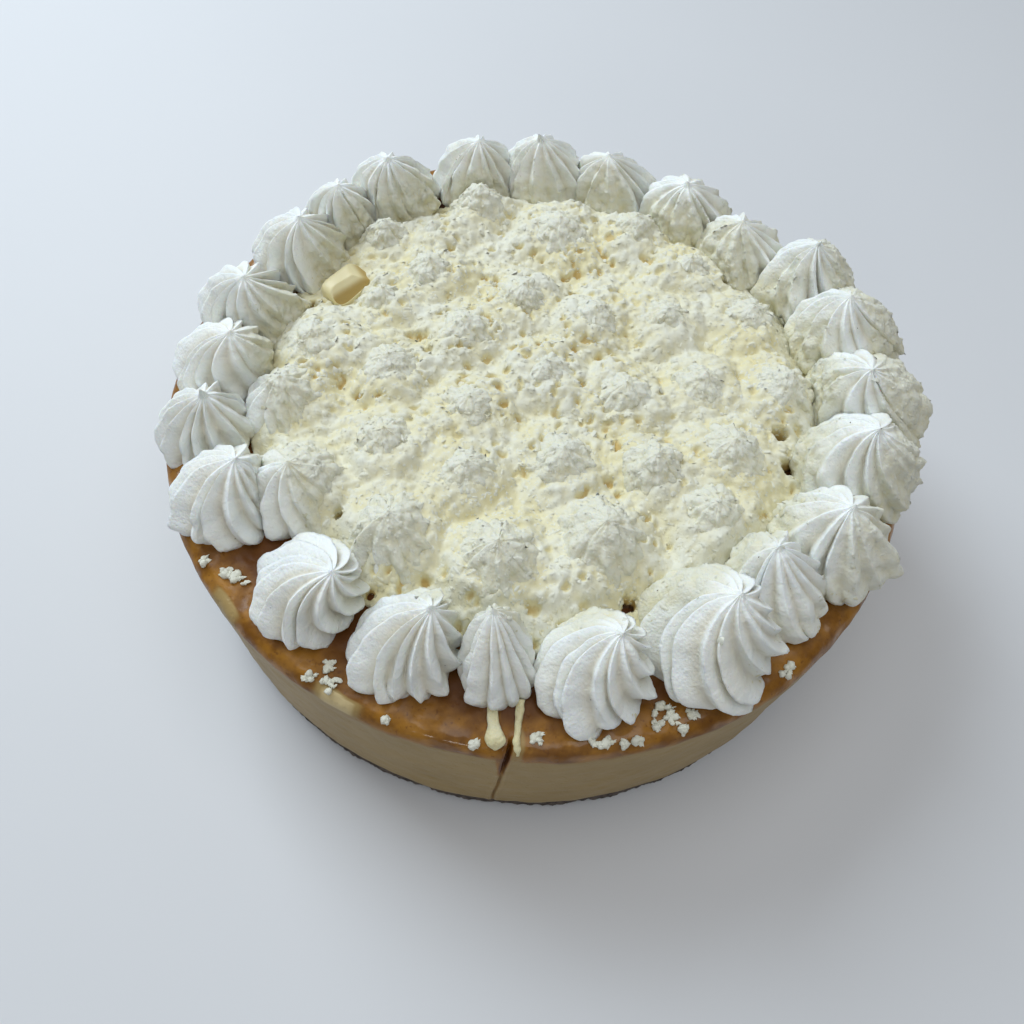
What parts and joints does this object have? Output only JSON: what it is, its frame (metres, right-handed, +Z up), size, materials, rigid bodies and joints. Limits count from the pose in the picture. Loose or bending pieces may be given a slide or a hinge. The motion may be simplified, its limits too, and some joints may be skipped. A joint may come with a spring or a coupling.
{
  "type": "cheesecake",
  "caption": "Whole round baked cheesecake on a dark biscuit base, with a ring of star-piped cream swirls on the rim, smaller swirls inside and grated white chocolate between them.",
  "frame": {"origin": "middle of the flat underside of the biscuit base, where the cake rests", "axes": "+Z up through the middle of the cake; the knife cut and the front face -Y; +X to the right seen from the front"},
  "size_m": [0.2371, 0.23, 0.0943],
  "materials": {
    "biscuit": "dark, crumbly biscuit crumb",
    "baked_filling": "smooth pale baked cheese with a browned satin top",
    "cream": "soft satin whipped cream",
    "grated": "matt, finely grated white chocolate",
    "chunk": "smooth, waxy white chocolate"
  },
  "bodies": {
    "root": {"biscuit_base": "biscuit", "cheese_filling": "baked_filling", "rim_swirl_01": "cream", "rim_swirl_02": "cream", "rim_swirl_03": "cream", "rim_swirl_04": "cream", "rim_swirl_05": "cream", "rim_swirl_06": "cream", "rim_swirl_07": "cream", "rim_swirl_08": "cream", "rim_swirl_09": "cream", "rim_swirl_10": "cream", "rim_swirl_11": "cream", "rim_swirl_12": "cream", "rim_swirl_13": "cream", "rim_swirl_14": "cream", "rim_swirl_15": "cream", "rim_swirl_16": "cream", "rim_swirl_17": "cream", "rim_swirl_18": "cream", "rim_swirl_19": "cream", "rim_swirl_20": "cream", "rim_swirl_21": "cream", "rim_swirl_22": "cream", "rim_swirl_23": "cream", "inner_swirl_01": "cream", "inner_swirl_02": "cream", "inner_swirl_03": "cream", "inner_swirl_04": "cream", "inner_swirl_05": "cream", "inner_swirl_06": "cream", "inner_swirl_07": "cream", "inner_swirl_08": "cream", "inner_swirl_09": "cream", "inner_swirl_10": "cream", "inner_swirl_11": "cream", "inner_swirl_12": "cream", "inner_swirl_13": "cream", "inner_swirl_14": "cream", "inner_swirl_15": "cream", "inner_swirl_16": "cream", "inner_swirl_17": "cream", "inner_swirl_18": "cream", "inner_swirl_19": "cream", "inner_swirl_20": "cream", "inner_swirl_21": "cream", "inner_swirl_22": "cream", "inner_swirl_23": "cream", "inner_swirl_24": "cream", "inner_swirl_25": "cream", "inner_swirl_26": "cream", "inner_swirl_27": "cream", "inner_swirl_28": "cream", "inner_swirl_29": "cream", "inner_swirl_30": "cream", "inner_swirl_31": "cream", "grated_chocolate": "grated", "white_chocolate_chunk": "chunk"}
  },
  "joints": []
}
